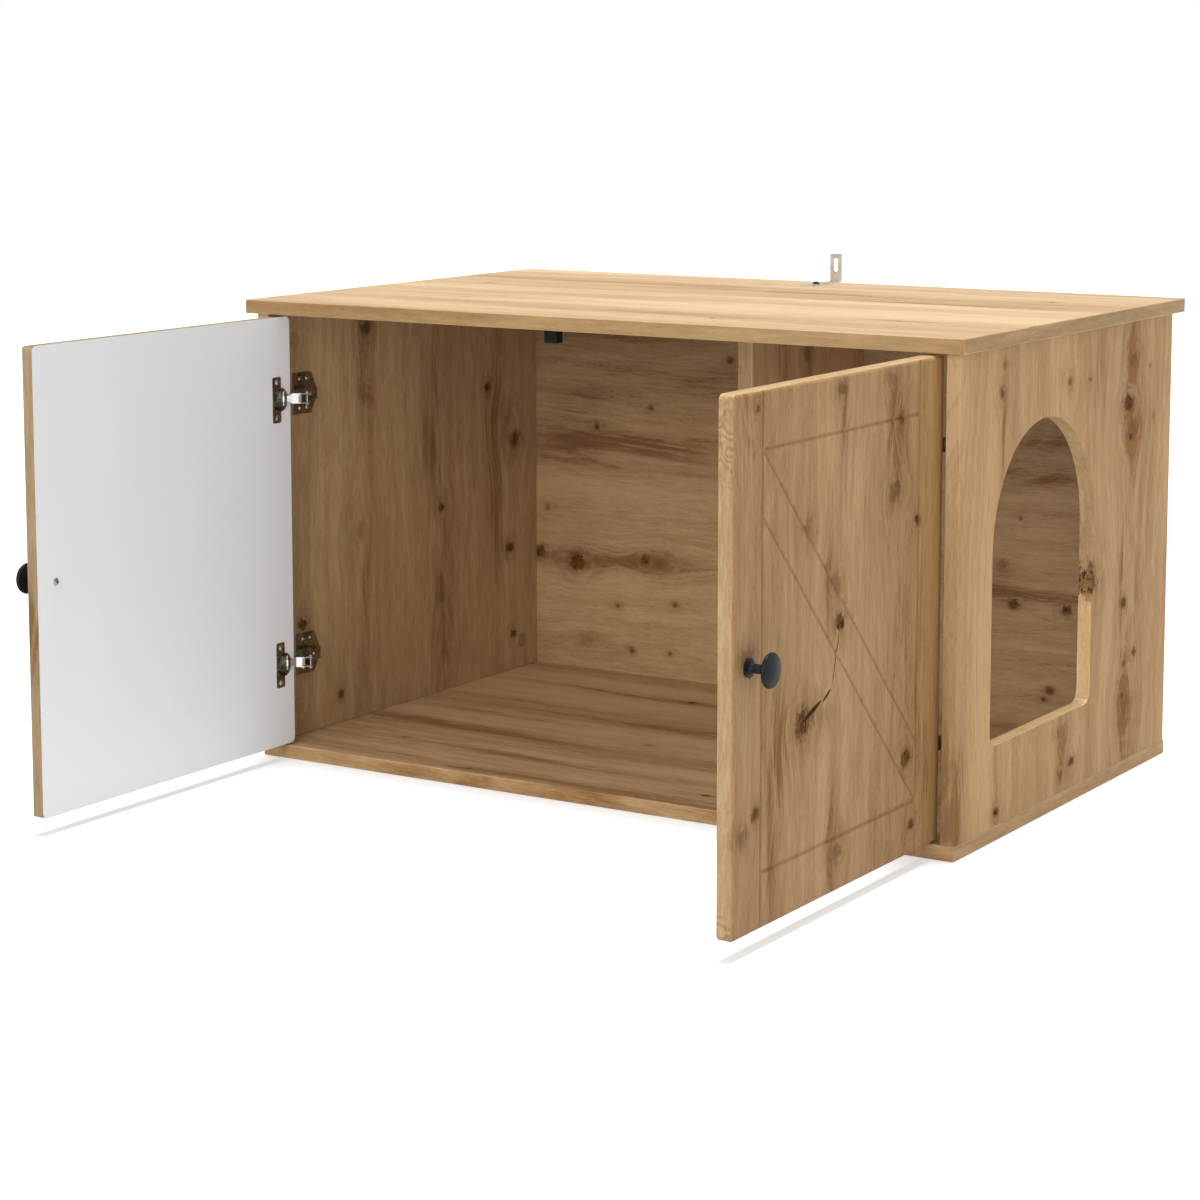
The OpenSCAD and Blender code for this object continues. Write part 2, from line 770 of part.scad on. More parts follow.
module door_stop() {
    color(black_plastic) difference() {
        stop_place() translate([-stop_w / 2, -stop_d / 2, -stop_h]) union() {
            linear_extrude(stop_h - 0.7) round_rect([stop_w, stop_d], 0.8);
            translate([0.5, 0.5, 0]) linear_extrude(stop_h) round_rect([stop_w - 1, stop_d - 1], 0.6);
        }
        stop_place() {
            translate([0, 0, -stop_sink]) screw_bore(stop_screw_size);
            translate([0, 0, -stop_sink]) cylinder(r = stop_screw_size[0] + 0.2, h = 5);
        }
    }
}

module stop_screw() {
    color(zinc) stop_place() translate([0, 0, -stop_sink]) screw(stop_screw_size);
}

bracket_y = body_d / 2 + top_end_over;
bracket_screw_in = 50;

module bracket_screw_place() {
    translate([0, bracket_y - bracket_screw_in, total_h + bracket_t]) children();
}

// An angle of flat steel: one leg on the top board, the other up the wall
module wall_bracket() {
    bend_r = 2 * bracket_t;
    slot_z = total_h + bracket_up - 5 - bracket_slot_l / 2;
    color(zinc) difference() {
        translate([-bracket_w / 2, bracket_y, total_h]) rotate([90, 0, 90])
            linear_extrude(bracket_w) difference() {
                union() {
                    translate([-bracket_leg, 0]) square([bracket_leg - bend_r, bracket_t]);
                    translate([-bracket_t, bend_r]) square([bracket_t, bracket_up - bend_r]);
                    intersection() {
                        translate([-bend_r, bend_r]) circle(bend_r);
                        translate([-bend_r, 0]) square(bend_r);
                    }
                }
                translate([-bend_r, bend_r]) circle(bend_r - bracket_t);
            }
        translate([0, bracket_y + cut, slot_z]) rotate([90, 90, 0])
            linear_extrude(bracket_t + 2 * cut) long_hole(bracket_slot_l, bracket_slot_w / 2);
        bracket_screw_place() screw_bore(bracket_screw_size);
    }
}

module bracket_screw() {
    color(black_plastic) bracket_screw_place() screw(bracket_screw_size);
}

// Hinge pieces of one side, at both of its hinges

module cup_pins(side) {
    for (level = [0, 1]) hinge_place(side, level) swung() cup_pin_solid();
}

module arm_pins(side) {
    for (level = [0, 1]) hinge_place(side, level) arm_pin_solid();
}

module cup_screws(side) {
    color(nickel) for (level = [0, 1]) hinge_place(side, level)
        cup_place() flange_screw_place() screw(wood_screw);
}

module plate_screw_set(side) {
    color(nickel) for (level = [0, 1]) hinge_place(side, level)
        plate_screw_place() screw(plate_screw);
}

module arm_screw_set(side) {
    color(nickel) for (level = [0, 1]) hinge_place(side, level)
        arm_screw_place() screw(arm_screw);
}

module cam_locks() {
    color(zinc) {
        at_joints(-(inner_w + board_t) / 2, front_y, side_joints, 0) cam_lock(board_t);
        at_joints((inner_w + board_t) / 2, front_y, side_joints, 180) cam_lock(board_t);
        at_joints(divider_x, divider_front_y, divider_joints, 180) cam_lock(divider_t);
    }
}

module cam_covers() {
    color(oak_shade) {
        at_joints(-(inner_w + board_t) / 2, front_y, side_joints, 0) cam_cover(board_t);
        at_joints((inner_w + board_t) / 2, front_y, side_joints, 180) cam_cover(board_t);
        at_joints(divider_x, divider_front_y, divider_joints, 180) cam_cover(divider_t);
    }
}

top_board();
bottom_board();
left_side_panel();
right_side_panel();
back_panel();
divider_panel();
door_place("left") door();  // left_door
door_place("right") door();  // right_door
door_place("left") knob_place() knob();  // left_knob
door_place("right") knob_place() knob();  // right_knob
door_place("left") knob_place() knob_screw_solid();  // left_knob_screw
door_place("right") knob_place() knob_screw_solid();  // right_knob_screw
hinge_place("left", 0) cup_place() hinge_cup();  // left_upper_hinge_cup
hinge_place("left", 1) cup_place() hinge_cup();  // left_lower_hinge_cup
hinge_place("right", 0) cup_place() hinge_cup();  // right_upper_hinge_cup
hinge_place("right", 1) cup_place() hinge_cup();  // right_lower_hinge_cup
hinge_place("left", 0) hinge_link();  // left_upper_hinge_link
hinge_place("left", 1) hinge_link();  // left_lower_hinge_link
hinge_place("right", 0) hinge_link();  // right_upper_hinge_link
hinge_place("right", 1) hinge_link();  // right_lower_hinge_link
hinge_place("left", 0) hinge_arm();  // left_upper_hinge_arm
hinge_place("left", 1) hinge_arm();  // left_lower_hinge_arm
hinge_place("right", 0) hinge_arm();  // right_upper_hinge_arm
hinge_place("right", 1) hinge_arm();  // right_lower_hinge_arm
hinge_place("left", 0) wall_plate();  // left_upper_wall_plate
hinge_place("left", 1) wall_plate();  // left_lower_wall_plate
hinge_place("right", 0) wall_plate();  // right_upper_wall_plate
hinge_place("right", 1) wall_plate();  // right_lower_wall_plate
cup_pins("left");  // left_cup_pins
cup_pins("right");  // right_cup_pins
arm_pins("left");  // left_arm_pins
arm_pins("right");  // right_arm_pins
cup_screws("left");  // left_cup_screws
cup_screws("right");  // right_cup_screws
plate_screw_set("left");  // left_plate_screws
plate_screw_set("right");  // right_plate_screws
arm_screw_set("left");  // left_arm_screws
arm_screw_set("right");  // right_arm_screws
cam_locks();
color(zinc) at_all_joints() cam_bolt();  // cam_bolts
cam_covers();
color(beech) at_all_joints(cam_to_dowel) wooden_dowel();  // wooden_dowels
door_stop();
stop_screw();
wall_bracket();
bracket_screw();
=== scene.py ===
"""Looks of the cat house: oak and white foils, hinges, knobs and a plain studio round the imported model."""

import math

import bpy
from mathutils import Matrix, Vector

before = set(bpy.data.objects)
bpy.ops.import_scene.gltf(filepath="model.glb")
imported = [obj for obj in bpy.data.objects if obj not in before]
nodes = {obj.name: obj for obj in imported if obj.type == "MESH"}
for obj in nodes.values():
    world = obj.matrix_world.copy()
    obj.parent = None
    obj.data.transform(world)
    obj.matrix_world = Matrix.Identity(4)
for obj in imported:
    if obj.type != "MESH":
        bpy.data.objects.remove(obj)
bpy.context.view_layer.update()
scene = bpy.context.scene

# Node trees


class Graph:
    """Builds a shader node tree from short calls. A value is a socket or a plain number."""

    def __init__(self, tree):
        self.tree = tree

    def add(self, kind, values=None, **settings):
        node = self.tree.nodes.new(kind)
        for name, value in settings.items():
            setattr(node, name, value)
        for key, value in (values or {}).items():
            self.put(node.inputs[key], value)
        return node

    def put(self, socket, value):
        if isinstance(value, bpy.types.NodeSocket):
            self.tree.links.new(value, socket)
        else:
            socket.default_value = value

    def call(self, group, values):
        """Uses a node group and returns its outputs."""
        return self.add("ShaderNodeGroup", values, node_tree=group).outputs

    def math(self, operation, a, b=0.0):
        return self.add("ShaderNodeMath", {0: a, 1: b}, operation=operation).outputs[0]

    def vector_math(self, operation, a, b):
        return self.add("ShaderNodeVectorMath", {0: a, 1: b}, operation=operation).outputs[0]

    def dot(self, a, b):
        node = self.add("ShaderNodeVectorMath", {0: a, 1: b}, operation="DOT_PRODUCT")
        return node.outputs["Value"]

    def length(self, a):
        return self.add("ShaderNodeVectorMath", {0: a}, operation="LENGTH").outputs["Value"]

    def total(self, *values):
        result = values[0]
        for value in values[1:]:
            result = self.math("ADD", result, value)
        return result

    def product(self, *values):
        result = values[0]
        for value in values[1:]:
            result = self.math("MULTIPLY", result, value)
        return result

    def largest(self, *values):
        result = values[0]
        for value in values[1:]:
            result = self.math("MAXIMUM", result, value)
        return result

    def centred(self, noise, amount=1.0):
        """A noise of 0 to 1 turned into a swing to both sides of zero."""
        return self.product(self.total(noise, -0.5), amount)

    def absolute(self, value):
        return self.math("ABSOLUTE", value)

    def one_minus(self, value):
        return self.math("SUBTRACT", 1.0, value)

    def between(self, value, low, high, to_low=0.0, to_high=1.0, smooth=True):
        """Maps value from low..high to to_low..to_high, held at both ends."""
        node = self.add(
            "ShaderNodeMapRange",
            {"Value": value, "From Min": low, "From Max": high, "To Min": to_low, "To Max": to_high},
            interpolation_type="SMOOTHSTEP" if smooth else "LINEAR",
        )
        return node.outputs["Result"]

    def split(self, vector):
        return self.add("ShaderNodeSeparateXYZ", {0: vector}).outputs[:]

    def join(self, x, y, z=0.0):
        return self.add("ShaderNodeCombineXYZ", {0: x, 1: y, 2: z}).outputs[0]

    def mix(self, factor, a, b, **settings):
        node = self.add("ShaderNodeMix", {"Factor": factor}, data_type="RGBA", clamp_factor=True, **settings)
        self.put(node.inputs[6], a)
        self.put(node.inputs[7], b)
        return node.outputs[2]

    def tinted(self, a, b):
        return self.mix(1.0, a, b, blend_type="MULTIPLY")

    def mix_vector(self, factor, a, b):
        node = self.add("ShaderNodeMix", {"Factor": factor}, data_type="VECTOR", clamp_factor=True)
        self.put(node.inputs[4], a)
        self.put(node.inputs[5], b)
        return node.outputs[1]

    def noise(self, vector, scale=1.0, detail=2.0, roughness=0.5):
        values = {"Vector": vector, "Scale": scale, "Detail": detail, "Roughness": roughness}
        return self.add("ShaderNodeTexNoise", values).outputs["Fac"]

    def bump(self, height, strength, distance):
        values = {"Height": height, "Strength": strength, "Distance": distance}
        return self.add("ShaderNodeBump", values).outputs[0]

    def bell(self, *terms):
        """exp of minus the sum of squares."""
        squares = self.total(*[self.product(t, t) for t in terms])
        return self.math("EXPONENT", self.math("MULTIPLY", squares, -1.0))


def colour(r, g, b):
    return (r, g, b, 1.0)


def new_group(name, inputs, outputs):
    """A node group. Inputs and outputs are named, and Vector or Float."""
    tree = bpy.data.node_groups.new(name, "ShaderNodeTree")
    for way, sockets in (("INPUT", inputs), ("OUTPUT", outputs)):
        for label, kind in sockets.items():
            tree.interface.new_socket(label, in_out=way, socket_type="NodeSocket" + kind)
    g = Graph(tree)
    given = g.add("NodeGroupInput").outputs
    out = g.add("NodeGroupOutput").inputs
    return tree, g, given, out


def knot_group():
    """A knot in the grain: how far it pushes the grain aside, its brown stain, core and cracks."""
    tree, g, given, out = new_group(
        "Knot",
        {"Point": "Vector", "Centre": "Vector", "Radius": "Float", "Dark": "Float", "Ragged": "Float",
         "Smudge": "Float"},
        {"Push": "Float", "Stain": "Float", "Core": "Float", "Crack": "Float", "Rings": "Float"},
    )
    dark, ragged, smudge = given["Dark"], given["Ragged"], given["Smudge"]
    along, across, _ = g.split(g.vector_math("SUBTRACT", given["Point"], given["Centre"]))
    a = g.math("DIVIDE", along, given["Radius"])
    c = g.math("DIVIDE", across, given["Radius"])
    distance = g.math("SQRT", g.total(g.product(a, a), g.product(c, c)))
    g.put(out["Push"], g.product(across, g.bell(g.product(a, 0.30), g.product(c, 0.50)), -0.75))

    torn_a = g.total(a, g.product(ragged, 1.4))
    torn_c = g.total(c, g.product(ragged, 1.1))
    stain = g.bell(g.product(torn_a, 0.42), g.product(torn_c, 0.62))
    patchy = g.between(smudge, 0.36, 0.62, 0.25, 1.0)
    g.put(out["Stain"], g.product(stain, patchy, g.total(g.product(dark, 0.50), 0.48)))

    waves = g.math("SINE", g.product(g.total(distance, g.product(ragged, 0.8)), 6.5))
    g.put(out["Rings"], g.product(waves, g.between(distance, 0.8, 3.4, 1.0, 0.0), dark))

    torn = g.total(distance, g.product(ragged, 1.5))
    rim = g.product(g.bell(g.product(g.total(torn, -0.80), 5.0)), g.between(smudge, 0.44, 0.56))
    inside = g.between(torn, 0.55, 0.90, 1.0, 0.0)
    strength = g.total(g.product(dark, 0.92), -0.05)
    g.put(out["Core"], g.product(g.largest(inside, g.product(rim, 0.9)), strength))

    lengthwise = g.product(
        g.bell(g.product(g.total(c, g.product(ragged, 1.6)), 7.0)),
        g.between(g.absolute(a), 0.3, 1.3, 1.0, 0.0),
    )
    spots = g.product(g.between(ragged, 0.07, 0.15), g.between(distance, 0.60, 1.05, 1.0, 0.0))
    cracks = g.largest(g.product(lengthwise, 0.7), spots)
    g.put(out["Crack"], g.product(cracks, g.between(dark, 0.45, 0.90)))
    return tree


def nearer_group():
    """Keeps the nearer of two knots: its distance, its place and its radius and darkness."""
    tree, g, given, out = new_group(
        "Nearer",
        {"Point": "Vector", "Gap": "Float", "Place": "Vector", "Kind": "Vector", "Centre": "Vector",
         "Radius and dark": "Vector", "Scale": "Float"},
        {"Gap": "Float", "Place": "Vector", "Kind": "Vector"},
    )
    away = g.vector_math("SUBTRACT", given["Point"], given["Centre"])
    gap = g.product(g.length(g.vector_math("MULTIPLY", away, (0.5, 1.0, 1.0))), given["Scale"])
    wins = g.math("LESS_THAN", gap, given["Gap"])
    g.put(out["Gap"], g.math("MINIMUM", gap, given["Gap"]))
    g.put(out["Place"], g.mix_vector(wins, given["Place"], given["Centre"]))
    g.put(out["Kind"], g.mix_vector(wins, given["Kind"], given["Radius and dark"]))
    return tree


def streak_group():
    """A long soft streak along the grain."""
    tree, g, given, out = new_group(
        "Streak", {"Point": "Vector", "Centre": "Vector", "Size": "Vector"}, {"Amount": "Float"}
    )
    away = g.vector_math("SUBTRACT", given["Point"], given["Centre"])
    along, across, _ = g.split(g.vector_math("DIVIDE", away, given["Size"]))
    g.put(out["Amount"], g.bell(along, across))
    return tree


def crack_group():
    """A crack that tapers to both ends of a straight line."""
    tree, g, given, out = new_group(
        "Crack line",
        {"Point": "Vector", "Start": "Vector", "Run": "Vector", "Width": "Float"},
        {"Amount": "Float"},
    )
    run = given["Run"]
    away = g.vector_math("SUBTRACT", given["Point"], given["Start"])
    held = g.between(g.math("DIVIDE", g.dot(away, run), g.dot(run, run)), 0.0, 1.0, smooth=False)
    foot = g.add("ShaderNodeVectorMath", {0: run, "Scale": held}, operation="SCALE").outputs[0]
    off = g.length(g.vector_math("SUBTRACT", away, foot))
    taper = g.total(g.product(held, g.one_minus(held), 3.2), 0.2)
    reach = g.product(given["Width"], taper)
    g.put(out["Amount"], g.between(g.math("DIVIDE", off, reach), 0.5, 1.2, 1.0, 0.0))
    return tree


KNOT = knot_group()
NEARER = nearer_group()
STREAK = streak_group()
CRACK = crack_group()

# Foil colours, as linear reflectance: pale, middle, deep. They are copies of one oak foil, each made paler
# or darker for its panels
OUTSIDE = ((0.460, 0.281, 0.122), (0.358, 0.207, 0.082), (0.224, 0.109, 0.041))
SIDE = ((0.515, 0.313, 0.133), (0.400, 0.230, 0.089), (0.264, 0.132, 0.049))
# Paler copy for the inside of the cabinet, as painted light that lifts its shade
INSIDE_WITH_PAINTED_LIGHT = ((0.528, 0.366, 0.198), (0.418, 0.276, 0.141), (0.248, 0.139, 0.063))
# Paler copy for the top board, as painted light on the top
TOP_WITH_PAINTED_LIGHT = ((0.577, 0.396, 0.214), (0.457, 0.296, 0.147), (0.292, 0.166, 0.077))
# Paler copy for the bottom board and the divider, as painted light that lifts the shade inside
BOTTOM_WITH_PAINTED_LIGHT = ((0.660, 0.450, 0.248), (0.530, 0.345, 0.180), (0.320, 0.175, 0.080))
BACK = ((0.430, 0.282, 0.145), (0.338, 0.212, 0.101), (0.190, 0.098, 0.042))
KNOT_BROWN = colour(0.100, 0.043, 0.012)
CRACK_BLACK = colour(0.046, 0.019, 0.005)
WHITE_FOIL = colour(0.865, 0.880, 0.900)

# Tints of the narrow edge faces, as factors on the foil's colours
PLAIN_EDGE = (1.0, 1.0, 1.0)
LEFT_SIDE_EDGE = (1.05, 1.16, 1.38)
RIGHT_SIDE_EDGE = (0.94, 1.04, 1.27)
LEFT_DOOR_EDGE = (0.80, 0.95, 1.23)
# The right door's edge tint is the edge's colour, made paler partly as painted light on its top edge
RIGHT_DOOR_EDGE_AND_LIGHT = (1.09, 1.23, 1.50)
TOP_EDGE = (0.77, 0.74, 0.63)
BOTTOM_EDGE = (0.77, 0.72, 0.63)
DIVIDER_EDGE = (0.65, 0.63, 0.60)
# The jamb round the opening is painted paler low down, as painted light where the front light falls; higher
# up its tint is about that of the plain edge
LOW_JAMB_PAINTED_LIGHT, HIGH_JAMB = (1.50, 1.76, 2.26), (0.92, 1.05, 1.30)

FOIL_SHEEN = 0.25
STREAK_GAIN = 1.7
# Where the painted shade in a groove under a door's face is full and where it starts, as depths
GROOVE_DARK, GROOVE_RIM = 0.0011, 0.0002
# Where a door's rounded edge ends and where its flat face is sure, from the edge
ROUND_END, FLAT_START = 0.00275, 0.00575
# Where the jamb's tint, with its painted light, takes over behind the side panel's front edge
PAST_FRONT = (0.025, 0.030)
# Between these heights the opening's jamb turns from its low tint, which is painted light, to its high tint
JAMB_TURN = (0.210, 0.260)
# Between these places along y the hinge link's dark fork turns into its bright web
FORK_TURN = (-0.2575, -0.2560)


def box_of(name):
    """The lowest and highest corner of a CAD node, which lies at the origin."""
    corners = nodes[name].bound_box
    return [min(c[i] for c in corners) for i in range(3)], [max(c[i] for c in corners) for i in range(3)]


def new_material(name):
    material = bpy.data.materials.new(name)
    material.use_nodes = True
    material.node_tree.nodes.clear()
    g = Graph(material.node_tree)
    shader = g.add("ShaderNodeBsdfPrincipled")
    g.tree.links.new(shader.outputs[0], g.add("ShaderNodeOutputMaterial").inputs[0])
    return material, g, shader


class Board:
    """A panel's own directions: u along the fibres, v across them and w through the board."""

    def __init__(self, g, grain, face, seed):
        across = next(a for a in "XYZ" if a not in (grain, face))
        where = g.add("ShaderNodeTexCoord")
        self.g = g
        self.seed = seed
        self.place = dict(zip("XYZ", g.split(where.outputs["Object"])))
        self.facing = dict(zip("XYZ", g.split(where.outputs["Normal"])))
        flat = self.turned(grain, across, face)
        # The edges that cut across the fibres carry a strip whose grain runs along the edge
        ends = self.turned(across, face, grain)
        is_end = g.between(g.absolute(self.facing[grain]), 0.70, 0.72)
        self.u, self.v, self.w = g.split(g.mix_vector(is_end, flat, ends))
        self.is_face = g.between(g.absolute(self.facing[face]), 0.55, 0.75)

    def turned(self, *axes):
        return self.g.join(*[self.place[a] for a in axes])

    def field(self, along_scale, across_scale, offset, detail, roughness=0.5, side=None):
        """Noise that is stretched along the fibres."""
        g = self.g
        point = g.join(
            g.product(self.u, along_scale),
            g.product(self.v if side is None else side, across_scale),
            g.total(g.product(self.w, across_scale), self.seed + offset),
        )
        return g.noise(point, detail=detail, roughness=roughness)


def two_shares(knots):
    """Splits the knots in two lists, so that close neighbours lie in different ones."""
    shares = ([], [])
    for knot in sorted(knots):
        def room(share):
            return min((math.hypot(knot[0] - k[0], knot[1] - k[1]) for k in share), default=1.0)

        shares[0 if room(shares[0]) >= room(shares[1]) else 1].append(knot)
    return [share for share in shares if share]


def knot_marks(board, knots, spread, squash, ragged, smudge):
    """What the knots do: their push on the grain, stain, core, cracks and rings."""
    g = board.g
    spot = g.join(g.product(board.u, squash), board.v)
    push, stain, core, crack, rings = 0.0, 0.0, 0.0, 0.0, 0.0
    for share in two_shares(knots):
        nearest = {"Gap": 1.0e3, "Place": (9.0, 9.0, 0.0), "Kind": (0.001, 0.0, 0.0)}
        for along, across, radius, dark in share:
            wide = radius * spread
            found = g.call(NEARER, {
                "Point": spot, **nearest, "Centre": (along * squash, across, 0.0),
                "Radius and dark": (wide, dark, 0.0), "Scale": 1.0 / wide,
            })
            nearest = {label: found[label] for label in nearest}
        radius, dark, _ = g.split(nearest["Kind"])
        knot = g.call(KNOT, {
            "Point": spot, "Centre": nearest["Place"], "Radius": radius, "Dark": dark, "Ragged": ragged,
            "Smudge": smudge,
        })
        push = g.total(push, knot["Push"])
        rings = g.total(rings, knot["Rings"])
        stain = g.largest(stain, knot["Stain"])
        core = g.largest(core, knot["Core"])
        crack = g.largest(crack, knot["Crack"])
    return push, stain, core, crack, rings


def crack_lines(board, cracks, ragged):
    """Cracks, each from one (along, across) place to another, with a width."""
    g = board.g
    amount = 0.0
    for start_u, start_v, end_u, end_v, width in cracks:
        line = g.call(CRACK, {
            "Point": g.join(board.u, g.total(board.v, g.product(ragged, 0.0016))),
            "Start": (start_u, start_v, 0.0), "Run": (end_u - start_u, end_v - start_v, 0.0),
            "Width": width,
        })
        amount = g.largest(amount, line["Amount"])
    return amount


def streak_shade(board, v_free, streaks):
    g = board.g
    shade = 0.0
    for along, across, half_length, half_width, amount in streaks:
        streak = g.call(STREAK, {
            "Point": g.join(board.u, v_free), "Centre": (along, across, 0.0),
            "Size": (half_length, half_width, 1.0),
        })
        shade = g.total(shade, g.product(streak["Amount"], amount * STREAK_GAIN))
    return shade


def end_grain(board, flames):
    """Wavy end grain on the edges, at (along, half length) places."""
    g = board.g
    sway = g.product(board.field(55.0, 70.0, 33.1, 1.0), 26.0)
    swirl = g.math("SINE", g.total(g.product(board.u, 620.0), sway))
    zone = g.largest(*[g.bell(g.product(g.total(board.u, -at), 1.0 / reach)) for at, reach in flames])
    return g.product(g.total(g.product(swirl, 0.34), 0.22), zone, g.one_minus(board.is_face))


def flecks(board):
    """Small dots strewn over the print."""
    g = board.g
    point = g.join(g.product(board.u, 9.0), g.product(board.v, 17.0), board.seed)
    cell = g.add("ShaderNodeTexVoronoi", {"Vector": point}).outputs
    chosen = g.between(g.split(cell["Color"])[0], 0.45, 0.75)
    return g.product(g.between(cell["Distance"], 0.015, 0.045, 1.0, 0.0), chosen)


def painted_groove_shade(board, door):
    """Painted shade in the grooves under a door's face, stronger on their walls that face along y, but not
    on its rounded edges.
    """
    g = board.g
    low, high = box_of(door)
    side, outer = (1.0, high[0]) if high[0] > 0.0 else (-1.0, -low[0])
    middle, half = (low[1] + high[1]) / 2, (high[1] - low[1]) / 2
    sunk = g.between(g.product(board.place["X"], side), outer - GROOVE_DARK, outer - GROOVE_RIM, 1.0, 0.0)
    aside = g.absolute(g.total(board.place["Y"], -middle))
    off_edge = g.between(aside, half - FLAT_START, half - ROUND_END, 1.0, 0.0)
    wall = g.total(g.product(g.absolute(board.facing["Y"]), 0.55), 0.16)
    return g.product(sunk, off_edge, board.is_face, wall)


def edge_tint_and_jamb_light(board, edge, opening, wobble):
    """White on the faces and the edge's tint beside them. opening holds the low and high tint of the
    jamb in the right side panel; the low one is painted light."""
    g = board.g
    edges = colour(*edge)
    if opening:
        low, high = (colour(*c) for c in opening)
        # Painted light: the jamb is paler low down
        jamb = g.mix(g.between(g.total(board.place["Z"], g.product(wobble, 0.06)), *JAMB_TURN), low, high)
        front = box_of("right_side_panel")[0][1]
        past = g.between(board.place["Y"], front + PAST_FRONT[0], front + PAST_FRONT[1])
        edges = g.mix(past, edges, jamb)
    return g.mix(board.is_face, edges, colour(1.0, 1.0, 1.0))


def oak(name, grain, face, seed, knots=(), streaks=(), palette=OUTSIDE, contrast=1.0, spread=1.0,
        squash=1.0, fine=1.2, sheen=FOIL_SHEEN, edge=PLAIN_EDGE, opening=(), cracks=(), flames=(),
        routed=None, white=0.0):
    """Foil printed with knotty oak. grain and face are the axes of the fibres and of the panel's
    normal. Knots and streaks are given in metres, along and across the grain; spread
    widens every knot and squash shortens it along the grain. contrast is that of the broad bands
    and fine that of the thin fibres. edge tints the narrow edge faces, opening the edges round the
    panel's opening, with painted light low on its jamb, and flames shows end grain on them. routed
    names the door whose grooves get painted shade, and white is the way along x in which a door's
    white inner face looks."""
    material, g, shader = new_material(name)
    board = Board(g, grain, face, seed)
    field = board.field

    wobble = g.centred(field(4.0, 11.0, 1.3, 2.0))
    wave = g.centred(field(1.1, 4.0, 3.7, 1.0))
    v_free = g.total(board.v, g.product(wobble, 0.014), g.product(wave, 0.045))
    ragged = g.centred(field(95.0, 150.0, 5.1, 3.0, 0.6), 1.5)
    smudge = field(38.0, 95.0, 6.3, 3.0, 0.6)
    push, stain, core, crack, rings = knot_marks(board, knots, spread, squash, ragged, smudge)
    v_grain = g.total(v_free, push)
    crack = g.largest(crack, crack_lines(board, cracks, ragged))

    broad = field(0.7, 7.0, 0.0, 2.0, 0.5, v_grain)
    contour = field(1.5, 9.0, 7.1, 0.0, 0.5, v_grain)
    arcs = g.noise(g.join(g.product(contour, 46.0), g.product(board.u, 0.8), seed), roughness=0.6)
    swathe = field(1.5, 24.0, 9.7, 2.0, 0.5, v_grain)
    bands = field(6.5, 60.0, 11.3, 4.0, 0.70, v_grain)
    lines = field(34.0, 270.0, 13.9, 3.0, 0.66, v_grain)
    fibres = field(120.0, 760.0, 17.9, 1.0, 0.6, v_grain)
    pores = g.product(g.between(fibres, 0.58, 0.74), g.between(bands, 0.40, 0.62, 0.20, 1.0))
    flamed = g.product(g.between(bands, 0.32, 0.60, 0.35, 1.15), g.between(arcs, 0.36, 0.62, 0.55, 1.30))
    depth = g.total(
        g.centred(broad, 1.20 * contrast),
        g.centred(swathe, 0.50 * contrast),
        g.centred(arcs, 0.32),
        g.centred(bands, 1.30),
        g.product(rings, 0.20),
        g.centred(lines, fine),
        g.centred(fibres, fine * 0.5),
        g.product(pores, fine * 0.24),
        0.42,
        g.product(streak_shade(board, v_free, streaks), flamed),
    )
    if flames:
        depth = g.total(depth, end_grain(board, flames))
    stain = g.largest(stain, g.product(flecks(board), 0.9))

    pale, middle, deep = (colour(*c) for c in palette)
    light_part = g.mix(g.between(depth, 0.0, 0.5, smooth=False), pale, middle)
    body = g.mix(g.between(depth, 0.5, 1.5, smooth=False), light_part, deep)
    body = g.mix(g.product(stain, 0.92), body, deep)
    body = g.mix(core, body, KNOT_BROWN)
    body = g.mix(crack, body, CRACK_BLACK)
    if routed:
        # Painted shade: the door's grooves are darkened towards the deep colour
        body = g.mix(painted_groove_shade(board, routed), body, deep)
    body = g.tinted(body, edge_tint_and_jamb_light(board, edge, opening, wobble))

    gloss = g.between(bands, 0.3, 0.7, 0.44, 0.58)
    relief = g.total(g.product(field(9.0, 340.0, 23.9, 2.0, 0.6), 0.6),
                     g.product(field(34.0, 900.0, 29.1, 1.0), 0.4))
    if white:
        inner = g.between(g.product(board.facing["X"], white), 0.86, 0.93)
        outer = g.one_minus(inner)
        satin = g.between(smudge, 0.3, 0.7, 0.34, 0.42)
        body = g.mix(inner, body, WHITE_FOIL)
        gloss = g.total(g.product(gloss, outer), g.product(inner, satin))
        relief = g.product(relief, g.total(outer, 0.06))
    marks = g.largest(core, crack, g.product(stain, 0.6), g.between(depth, 0.55, 1.3, 0.0, 0.6))
    dull = g.between(marks, 0.0, 0.6, 1.0, 0.05, smooth=False)
    shine = g.between(board.is_face, 0.0, 1.0, FOIL_SHEEN, sheen, smooth=False)
    g.put(shader.inputs["Base Color"], body)
    g.put(shader.inputs["Roughness"], gloss)
    g.put(shader.inputs["Normal"], g.bump(relief, 0.25, 0.0005))
    g.put(shader.inputs["Specular IOR Level"], g.product(dull, shine))
    return material


